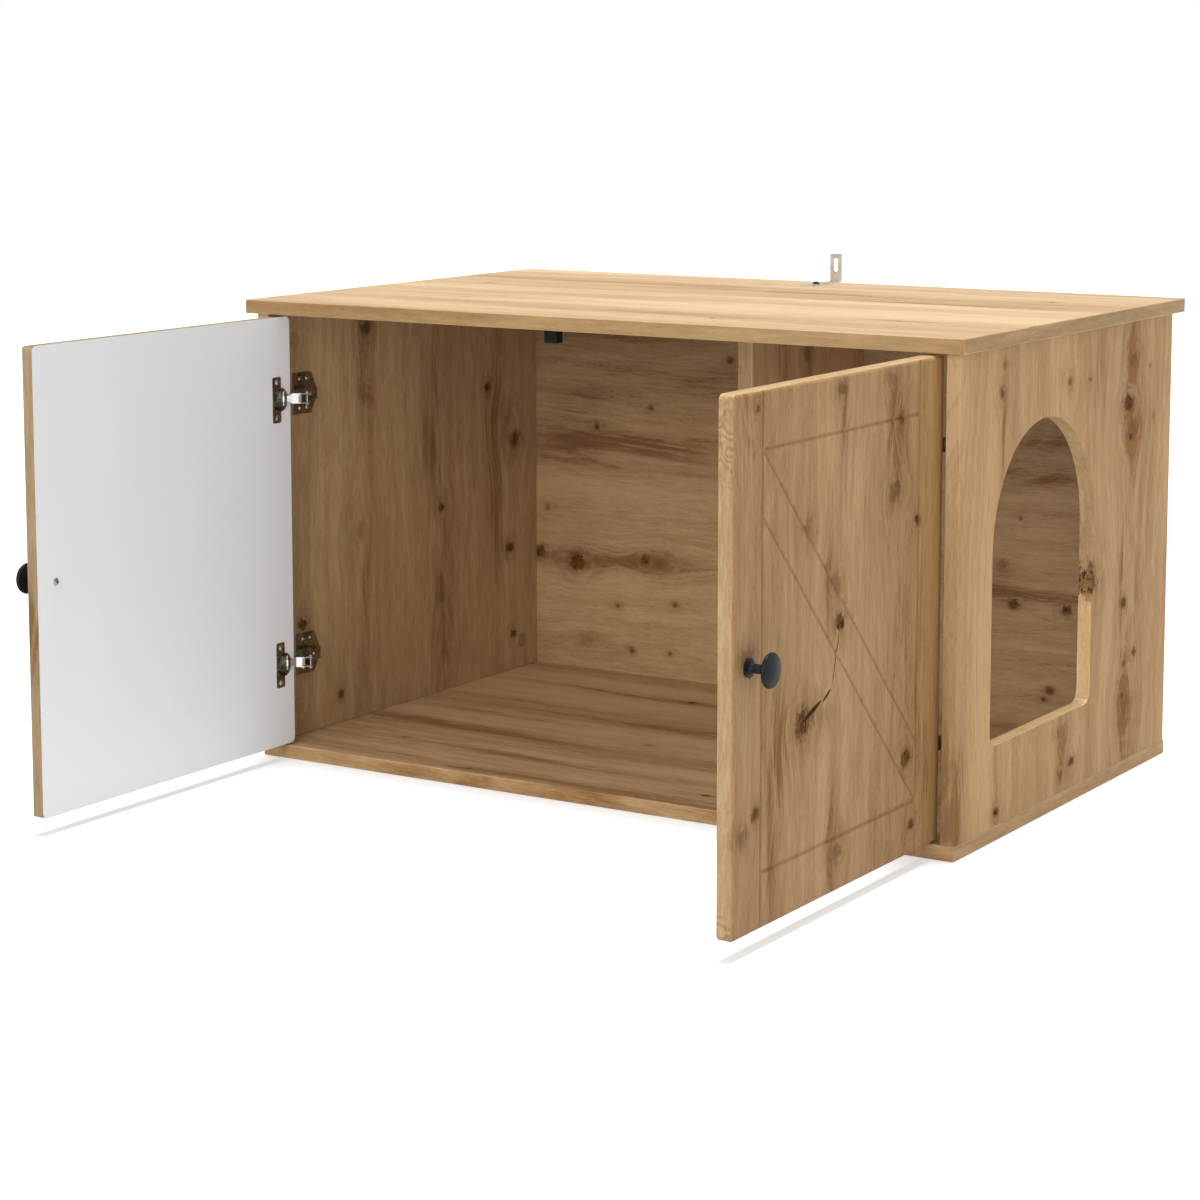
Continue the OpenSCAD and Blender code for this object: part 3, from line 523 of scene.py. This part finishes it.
def metal(name, base, dull, roughness, seed=0.0):
    """Plated or cast metal with fine scratches and slightly duller patches."""
    material, g, shader = new_material(name)
    where = g.add("ShaderNodeTexCoord").outputs["Object"]
    x, y, z = g.split(where)
    patches = g.noise(where, 220.0, 3.0, 0.6)
    scratches = g.noise(g.join(g.product(x, 900.0), g.product(y, 900.0), g.product(z, 140.0)))
    tarnish = g.noise(g.vector_math("ADD", where, (seed, seed, seed)), 70.0, 4.0)
    plating = g.mix(g.between(tarnish, 0.42, 0.72), colour(*base), colour(*dull))
    g.put(shader.inputs["Base Color"], plating)
    rough = g.total(roughness, g.centred(patches, 0.22), g.centred(scratches, 0.18))
    g.put(shader.inputs["Roughness"], rough)
    g.put(shader.inputs["Normal"], g.bump(scratches, 0.06, 0.0002))
    shader.inputs["Metallic"].default_value = 1.0
    return material


def moulded(name, base, worn, roughness, sheen=0.5, grain=1400.0, relief=0.12):
    """Painted or moulded surface with a fine grain."""
    material, g, shader = new_material(name)
    where = g.add("ShaderNodeTexCoord").outputs["Object"]
    fine = g.noise(where, grain, 2.0, 0.6)
    broad = g.noise(where, 90.0, 3.0, 0.55)
    g.put(shader.inputs["Base Color"], g.mix(g.between(broad, 0.35, 0.7), colour(*base), colour(*worn)))
    g.put(shader.inputs["Roughness"], g.between(broad, 0.3, 0.7, roughness - 0.05, roughness + 0.07))
    g.put(shader.inputs["Normal"], g.bump(fine, relief, 0.0002))
    shader.inputs["Specular IOR Level"].default_value = sheen
    return material


def link_metal():
    """Bright plating on the link's web, darker on the fork that reaches the arm."""
    material, g, shader = new_material("Bright link")
    where = g.add("ShaderNodeTexCoord").outputs["Object"]
    patches = g.noise(where, 400.0, 3.0, 0.6)
    fork = g.between(g.total(g.split(where)[1], g.product(patches, 0.001)), *FORK_TURN)
    bright = g.mix(g.between(patches, 0.35, 0.70), colour(0.93, 0.93, 0.94), colour(0.84, 0.84, 0.86))
    g.put(shader.inputs["Base Color"], g.mix(fork, bright, colour(0.26, 0.25, 0.22)))
    g.put(shader.inputs["Roughness"], g.total(g.product(patches, 0.16), 0.16))
    g.put(shader.inputs["Normal"], g.bump(patches, 0.05, 0.0002))
    shader.inputs["Metallic"].default_value = 1.0
    return material


def dress(material, *names):
    for name in names:
        slots = nodes[name].data.materials
        slots.clear()
        slots.append(material)


# Oak panels: knots are (along, across, radius, darkness), streaks (along, across, half length,
# half width, amount), in metres

SIDE_KNOTS = [
    (0.405, 0.145, 0.0090, 1.00), (0.450, 0.158, 0.0085, 0.45), (0.378, 0.161, 0.0120, 0.42),
    (0.368, 0.153, 0.0040, 0.75), (0.440, 0.204, 0.0030, 0.45), (0.384, 0.215, 0.0030, 0.40),
    (0.473, -0.170, 0.0035, 0.50), (0.445, -0.175, 0.0055, 0.62), (0.442, -0.012, 0.0050, 0.60),
    (0.440, 0.041, 0.0028, 0.55), (0.261, 0.034, 0.0080, 0.60), (0.226, 0.046, 0.0160, 0.85),
    (0.190, 0.143, 0.0050, 0.85), (0.131, 0.175, 0.0040, 0.80), (0.123, 0.148, 0.0035, 0.65),
    (0.088, 0.145, 0.0035, 0.70), (0.074, 0.155, 0.0110, 0.32), (0.079, -0.018, 0.0100, 0.35),
    (0.043, 0.011, 0.0055, 0.75), (0.035, -0.018, 0.0040, 0.60), (0.029, -0.175, 0.0040, 0.80),
]
SIDE_STREAKS = [
    (0.430, 0.150, 0.060, 0.012, 0.35), (0.200, 0.143, 0.070, 0.006, 0.45),
    (0.080, 0.155, 0.070, 0.016, 0.35), (0.410, -0.172, 0.060, 0.007, 0.40),
    (0.060, -0.178, 0.060, 0.007, 0.45), (0.050, -0.268, 0.070, 0.020, 0.50),
    (0.250, 0.205, 0.200, 0.022, 0.16), (0.450, 0.060, 0.050, 0.030, 0.18),
    (0.060, -0.010, 0.050, 0.025, 0.35), (0.240, -0.225, 0.400, 0.045, -0.40),
    (0.250, 0.160, 0.260, 0.024, 0.38), (0.100, 0.155, 0.050, 0.014, 0.45),
    (0.050, -0.262, 0.050, 0.012, 0.60), (0.430, 0.160, 0.060, 0.018, 0.30),
    (0.440, -0.274, 0.100, 0.018, -0.40), (0.100, -0.274, 0.080, 0.018, 0.25),
]
# The right side panel's jamb is painted paler low down, as painted light
dress(
    oak("Oak right side", "Z", "X", 4.0, SIDE_KNOTS, SIDE_STREAKS, SIDE, contrast=1.45, spread=1.8,
        squash=1.5, edge=RIGHT_SIDE_EDGE, opening=(LOW_JAMB_PAINTED_LIGHT, HIGH_JAMB)),
    "right_side_panel",
)

LEFT_KNOTS = [
    (0.463, -0.094, 0.0065, 0.85), (0.373, 0.150, 0.0045, 0.80), (0.304, 0.209, 0.0080, 0.72),
    (0.238, 0.052, 0.0045, 0.80), (0.169, 0.199, 0.0050, 0.90), (0.060, 0.205, 0.0040, 0.80),
    (0.048, -0.147, 0.0040, 0.75), (0.140, -0.218, 0.0060, 0.85), (0.330, 0.195, 0.0120, 0.15),
    (0.225, -0.110, 0.0100, 0.12),
]
LEFT_STREAKS = [
    (0.430, -0.100, 0.110, 0.018, 0.55), (0.300, 0.040, 0.140, 0.022, 0.45),
    (0.120, 0.055, 0.110, 0.020, 0.40), (0.330, 0.165, 0.130, 0.018, 0.55),
    (0.200, 0.170, 0.060, 0.012, 0.40), (0.110, -0.215, 0.060, 0.010, 0.45),
    (0.150, -0.108, 0.120, 0.016, 0.30),
]
# The left side panel takes the inside's paler colours, painted light on its shaded inner face
dress(
    oak("Oak left side", "Z", "X", 9.0, LEFT_KNOTS, LEFT_STREAKS, INSIDE_WITH_PAINTED_LIGHT, spread=1.7, squash=1.3,
        edge=LEFT_SIDE_EDGE),
    "left_side_panel",
)

BACK_KNOTS = [
    (-0.347, 0.148, 0.0130, 1.00), (-0.249, 0.159, 0.0070, 0.85), (-0.226, 0.157, 0.0140, 0.22),
    (-0.402, 0.157, 0.0090, 0.85), (-0.318, 0.319, 0.0050, 0.85), (-0.240, 0.346, 0.0040, 0.65),
    (-0.390, 0.213, 0.0045, 0.55), (-0.329, 0.048, 0.0110, 0.25), (-0.267, 0.043, 0.0045, 0.65),
    (-0.212, 0.046, 0.0035, 0.65), (-0.288, 0.098, 0.0035, 0.60), (-0.206, 0.106, 0.0040, 0.65),
    (0.243, 0.153, 0.0070, 0.90), (0.308, 0.152, 0.0080, 0.85), (0.250, 0.252, 0.0035, 0.55),
    (0.289, 0.057, 0.0045, 0.80), (0.282, 0.047, 0.0035, 0.70), (0.229, 0.194, 0.0060, 0.45),
    (0.120, 0.330, 0.0060, 0.80), (-0.060, 0.250, 0.0070, 0.75), (-0.130, 0.410, 0.0050, 0.70),
]
BACK_STREAKS = [
    (-0.360, 0.290, 0.070, 0.012, 0.45), (-0.260, 0.305, 0.110, 0.018, 0.62),
    (-0.345, 0.345, 0.045, 0.014, 0.55), (-0.290, 0.150, 0.160, 0.013, 0.50),
    (-0.250, 0.275, 0.120, 0.006, 0.50), (0.270, 0.305, 0.090, 0.010, 0.45),
    (0.290, 0.345, 0.080, 0.008, 0.35), (0.230, 0.160, 0.060, 0.016, 0.45),
    (-0.150, 0.380, 0.140, 0.018, 0.30), (0.300, 0.155, 0.120, 0.014, 0.30),
    # The second streak on this line, with a negative amount, is painted light on the back's upper right,
    # where the top board shades it
    (-0.300, 0.440, 0.110, 0.020, 0.35), (0.150, 0.440, 0.250, 0.050, -0.30),
]
dress(oak("Oak back", "X", "Y", 13.0, BACK_KNOTS, BACK_STREAKS, BACK), "back_panel")

BOTTOM_KNOTS = [
    (-0.158, -0.253, 0.0035, 0.60), (0.118, -0.221, 0.0050, 0.80), (-0.119, 0.153, 0.0060, 0.70),
    (-0.300, -0.170, 0.0040, 0.45), (0.240, 0.020, 0.0060, 0.75), (-0.050, -0.060, 0.0040, 0.50),
]
BOTTOM_STREAKS = [
    (-0.330, -0.093, 0.080, 0.010, 0.75), (-0.220, -0.100, 0.060, 0.008, 1.00),
    (-0.080, -0.180, 0.150, 0.012, 0.45), (-0.250, -0.020, 0.120, 0.010, 0.50),
    (0.118, -0.221, 0.035, 0.004, 0.60), (-0.158, -0.253, 0.030, 0.003, 0.40),
    (-0.200, 0.145, 0.180, 0.014, 0.45), (-0.100, 0.020, 0.200, 0.016, 0.35),
    # These two streaks are painted shade and light: a dark band along the bottom's front strip, where light
    # falls most, and a lighter one towards its back
    (0.000, -0.262, 0.600, 0.040, 0.42), (0.000, 0.080, 0.600, 0.200, -0.20),
    (-0.300, 0.060, 0.120, 0.010, 0.30), (-0.280, -0.150, 0.200, 0.060, 0.30),
]
# The bottom board's paler colours are painted light
dress(
    oak("Oak bottom", "X", "Z", 21.0, BOTTOM_KNOTS, BOTTOM_STREAKS, BOTTOM_WITH_PAINTED_LIGHT, contrast=2.6,
        edge=BOTTOM_EDGE),
    "bottom_board",
)

TOP_KNOTS = [
    (0.117, -0.211, 0.0035, 0.75), (0.293, -0.142, 0.0035, 0.75), (-0.056, 0.216, 0.0050, 0.45),
    (-0.250, -0.120, 0.0040, 0.35), (0.330, 0.150, 0.0050, 0.55), (-0.340, 0.060, 0.0060, 0.50),
]
TOP_STREAKS = [
    (-0.200, 0.155, 0.180, 0.010, 0.42), (0.100, 0.120, 0.200, 0.009, 0.45),
    (0.260, 0.060, 0.170, 0.008, 0.50), (0.117, -0.211, 0.040, 0.003, 0.55),
    (0.300, -0.142, 0.045, 0.0035, 0.75), (-0.100, 0.020, 0.180, 0.010, 0.25),
    (0.050, -0.060, 0.250, 0.012, 0.22), (-0.300, -0.040, 0.150, 0.010, 0.22),
]
# The top board's paler colours are painted light on the top
dress(
    oak("Oak top", "X", "Z", 31.0, TOP_KNOTS, TOP_STREAKS, TOP_WITH_PAINTED_LIGHT, contrast=2.4, fine=0.85, sheen=0.55,
        edge=TOP_EDGE),
    "top_board",
)

DIVIDER_KNOTS = [
    (0.440, 0.120, 0.0100, 0.55), (0.380, 0.180, 0.0050, 0.70), (0.200, 0.100, 0.0080, 0.80),
]
DIVIDER_STREAKS = [(0.430, 0.060, 0.100, 0.010, 0.55), (0.400, 0.110, 0.120, 0.012, 0.40)]
# The divider takes the bottom's paler colours, painted light against the shade it stands in
dress(
    oak("Oak divider", "Z", "X", 37.0, DIVIDER_KNOTS, DIVIDER_STREAKS, BOTTOM_WITH_PAINTED_LIGHT, edge=DIVIDER_EDGE),
    "divider_panel",
)

# The doors share the strength and shape of their marks
DOOR_PRINT = {"contrast": 1.3, "spread": 1.7, "squash": 1.3}
RIGHT_DOOR_KNOTS = [
    (0.475, -0.623, 0.0035, 0.65), (0.477, -0.470, 0.0060, 0.60), (0.476, -0.375, 0.0085, 0.40),
    (0.438, -0.350, 0.0040, 0.75), (0.372, -0.361, 0.0095, 0.62), (0.339, -0.315, 0.0045, 0.80),
    (0.359, -0.532, 0.0070, 0.40), (0.304, -0.479, 0.0080, 0.42), (0.266, -0.470, 0.0070, 0.85),
    (0.187, -0.540, 0.0105, 0.80), (0.186, -0.501, 0.0120, 0.22), (0.114, -0.334, 0.0070, 0.85),
    (0.123, -0.624, 0.0050, 0.75), (0.107, -0.648, 0.0070, 0.50), (0.046, -0.321, 0.0050, 0.80),
    (0.055, -0.471, 0.0080, 0.45), (0.265, -0.641, 0.0060, 0.45),
]
RIGHT_DOOR_STREAKS = [
    (0.430, -0.460, 0.060, 0.007, 0.55), (0.450, -0.365, 0.050, 0.014, 0.45),
    (0.400, -0.355, 0.050, 0.008, 0.30), (0.310, -0.490, 0.060, 0.009, 0.35),
    (0.176, -0.583, 0.040, 0.022, 0.45), (0.190, -0.530, 0.030, 0.012, 0.40),
    (0.475, -0.650, 0.045, 0.012, 0.45), (0.120, -0.600, 0.090, 0.012, 0.25),
    (0.060, -0.475, 0.080, 0.012, 0.35), (0.250, -0.310, 0.130, 0.010, 0.25),
    (0.070, -0.294, 0.060, 0.010, 0.40),
]
RIGHT_DOOR_CRACKS = [
    (0.187, -0.541, 0.2005, -0.5046, 0.0030), (0.199, -0.502, 0.208, -0.486, 0.0018),
    (0.210, -0.484, 0.262, -0.470, 0.0008),
]
RIGHT_DOOR_FLAMES = [(0.452, 0.034), (0.030, 0.018)]
dress(
    oak("Oak right door", "Z", "X", 43.0, RIGHT_DOOR_KNOTS, RIGHT_DOOR_STREAKS, edge=RIGHT_DOOR_EDGE_AND_LIGHT,
        cracks=RIGHT_DOOR_CRACKS, flames=RIGHT_DOOR_FLAMES, routed="right_door", white=-1.0, **DOOR_PRINT),
    "right_door",
)

LEFT_DOOR_KNOTS = [
    (0.410, -0.560, 0.0080, 0.80), (0.330, -0.420, 0.0060, 0.75), (0.290, -0.430, 0.0130, 0.25),
    (0.210, -0.330, 0.0050, 0.85), (0.160, -0.590, 0.0095, 0.70), (0.090, -0.480, 0.0060, 0.80),
    (0.450, -0.340, 0.0045, 0.65), (0.060, -0.350, 0.0070, 0.55), (0.240, -0.520, 0.0040, 0.70),
]
LEFT_DOOR_STREAKS = [
    (0.390, -0.560, 0.080, 0.010, 0.50), (0.300, -0.425, 0.120, 0.012, 0.40),
    (0.170, -0.590, 0.070, 0.012, 0.45), (0.120, -0.470, 0.080, 0.012, 0.35),
    (0.350, -0.330, 0.110, 0.012, 0.30), (0.212, -0.665, 0.050, 0.020, 0.50),
]
dress(
    oak("Oak left door", "Z", "X", 57.0, LEFT_DOOR_KNOTS, LEFT_DOOR_STREAKS, edge=LEFT_DOOR_EDGE,
        routed="left_door", white=1.0, **DOOR_PRINT),
    "left_door",
)
dress(oak("Beech dowel", "Z", "X", 71.0), "wooden_dowels")

# Fittings

SIDES = ("left", "right")
LEVELS = ("upper", "lower")


def hinges(kind):
    return [f"{side}_{level}_{kind}" for side in SIDES for level in LEVELS]


def pairs(*kinds):
    return [f"{side}_{kind}" for kind in kinds for side in SIDES]


dress(metal("Dark nickel", (0.36, 0.34, 0.29), (0.17, 0.16, 0.13), 0.30),
      *hinges("hinge_arm"), *hinges("wall_plate"))
dress(metal("Cup nickel", (0.42, 0.40, 0.35), (0.22, 0.21, 0.18), 0.26, seed=0.3), *hinges("hinge_cup"))
dress(link_metal(), *hinges("hinge_link"))
dress(metal("Pin steel", (0.70, 0.68, 0.64), (0.42, 0.40, 0.36), 0.22, seed=0.9),
      *pairs("cup_pins", "arm_pins"))
dress(metal("Screw nickel", (0.44, 0.42, 0.38), (0.24, 0.23, 0.20), 0.16, seed=0.6),
      *pairs("cup_screws", "plate_screws", "arm_screws"))
dress(metal("Dull screw", (0.46, 0.45, 0.43), (0.30, 0.29, 0.28), 0.36, seed=1.4), *pairs("knob_screw"))
dress(metal("Zinc sheet", (0.78, 0.76, 0.72), (0.62, 0.60, 0.57), 0.30, seed=1.2),
      "wall_bracket", "stop_screw")
dress(metal("Die cast zinc", (0.66, 0.67, 0.69), (0.48, 0.49, 0.51), 0.42, seed=1.5),
      "cam_locks", "cam_bolts")
dress(metal("Black oxide", (0.030, 0.030, 0.032), (0.014, 0.014, 0.015), 0.32, seed=1.8),
      "bracket_screw")
dress(moulded("Black knob paint", (0.010, 0.012, 0.012), (0.015, 0.018, 0.018), 0.36, sheen=0.13),
      *pairs("knob"))
dress(moulded("Black plastic", (0.009, 0.011, 0.011), (0.016, 0.018, 0.018), 0.46, sheen=0.06,
              grain=900.0, relief=0.2), "door_stop")
dress(moulded("Brown cover", (0.335, 0.215, 0.100), (0.375, 0.245, 0.120), 0.52), "cam_covers")

# Studio

AMBIENT = 0.55
FLOOR_GLOW = 0.42
FLOOR_SIZE = 80.0
BELOW_PART = 0.0003
# Name, azimuth from the front, elevation and spread in degrees, and strength
SUNS = (("overhead_softbox", 180.0, 86.0, 15.0, 3.45), ("front_fill", 10.0, 17.0, 40.0, 1.65))


def camera_sees(g):
    return g.add("ShaderNodeLightPath").outputs["Is Camera Ray"]


def sky():
    """White behind the part, and a dimmer white that lights it."""
    world = bpy.data.worlds.new("Studio")
    scene.world = world
    world.use_nodes = True
    world.node_tree.nodes.clear()
    g = Graph(world.node_tree)
    strength = g.between(camera_sees(g), 0.0, 1.0, AMBIENT, 1.0, smooth=False)
    light = g.add("ShaderNodeBackground", {"Color": colour(1.0, 1.0, 1.0), "Strength": strength})
    g.tree.links.new(light.outputs[0], g.add("ShaderNodeOutputWorld").inputs[0])


def pale_floor():
    """A plain floor that glows a little to the camera alone, so that shadows on it stay faint."""
    bpy.ops.mesh.primitive_plane_add(size=FLOOR_SIZE, location=(0.0, 0.0, -BELOW_PART))
    floor = bpy.context.object
    floor.name = "studio_floor"
    material, g, shader = new_material("Pale floor")
    where = g.add("ShaderNodeTexCoord").outputs["Object"]
    patches = g.between(g.noise(where, 6.0, 3.0), 0.3, 0.7)
    g.put(shader.inputs["Base Color"], g.mix(patches, colour(0.65, 0.65, 0.65), colour(0.67, 0.67, 0.67)))
    g.put(shader.inputs["Emission Strength"], g.product(camera_sees(g), FLOOR_GLOW))
    shader.inputs["Emission Color"].default_value = colour(1.0, 1.0, 1.0)
    shader.inputs["Roughness"].default_value = 0.9
    shader.inputs["Specular IOR Level"].default_value = 0.1
    floor.data.materials.append(material)


def aimed(thing, name, direction, pole):
    """Puts a light or camera in the scene with one of its axes, its pole, along a direction."""
    placed = bpy.data.objects.new(name, thing)
    placed.rotation_mode = "QUATERNION"
    placed.rotation_quaternion = direction.to_track_quat(pole, "Y")
    scene.collection.objects.link(placed)
    return placed


def sun(name, azimuth, elevation, spread, strength):
    light = bpy.data.lights.new(name, "SUN")
    light.energy = strength
    light.angle = math.radians(spread)
    a, e = math.radians(azimuth), math.radians(elevation)
    towards = Vector((math.sin(a) * math.cos(e), -math.cos(a) * math.cos(e), math.sin(e)))
    aimed(light, name, towards, "Z")


def photo_camera():
    """The photograph's viewpoint, solved from its straight edges: in front and to the right, a
    little above the top board."""
    data = bpy.data.cameras.new("photo_camera")
    data.sensor_width = 36.0
    data.lens = 89.285
    data.shift_x = -0.0094
    data.shift_y = -0.13
    data.clip_end = 200.0
    turn, dip = math.radians(32.069), math.radians(7.446)
    ahead = Vector((-math.sin(turn) * math.cos(dip), math.cos(turn) * math.cos(dip), -math.sin(dip)))
    camera = aimed(data, "photo_camera", ahead, "-Z")
    camera.location = (1.6257, -2.8114, 0.7721)
    bpy.context.scene.camera = camera


sky()
pale_floor()
for lamp in SUNS:
    sun(*lamp)
photo_camera()
scene.view_settings.view_transform = "Standard"
scene.view_settings.look = "None"
